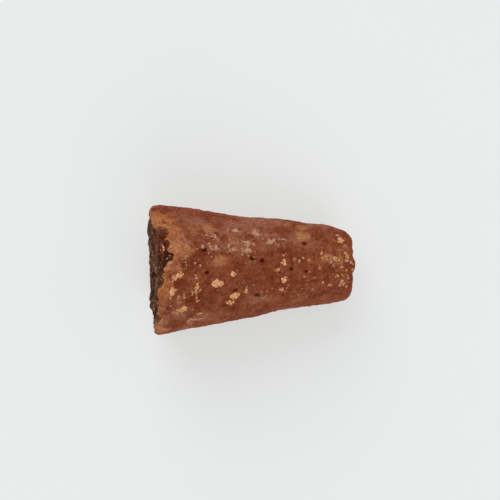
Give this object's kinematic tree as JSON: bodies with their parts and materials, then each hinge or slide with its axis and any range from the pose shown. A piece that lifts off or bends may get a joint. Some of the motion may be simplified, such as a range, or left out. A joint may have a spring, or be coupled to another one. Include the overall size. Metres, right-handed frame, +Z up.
{
  "type": "piloncillo sugar cone",
  "caption": "Truncated cone of raw unrefined cane sugar lying on its side, with a chipped rim, pale sugar flakes and open bubbles.",
  "frame": {"origin": "on the ground, under the middle of the cone's bounding box", "axes": "+X from the wide end towards the narrow end, +Z up; the cone lies on its lowest line with the shown side up"},
  "size_m": [0.0778, 0.048, 0.0474],
  "materials": {
    "raw_sugar": "rough, grainy, dull with a faint waxy sheen"
  },
  "bodies": {
    "root": {"sugar_cone": "raw_sugar"}
  },
  "joints": []
}
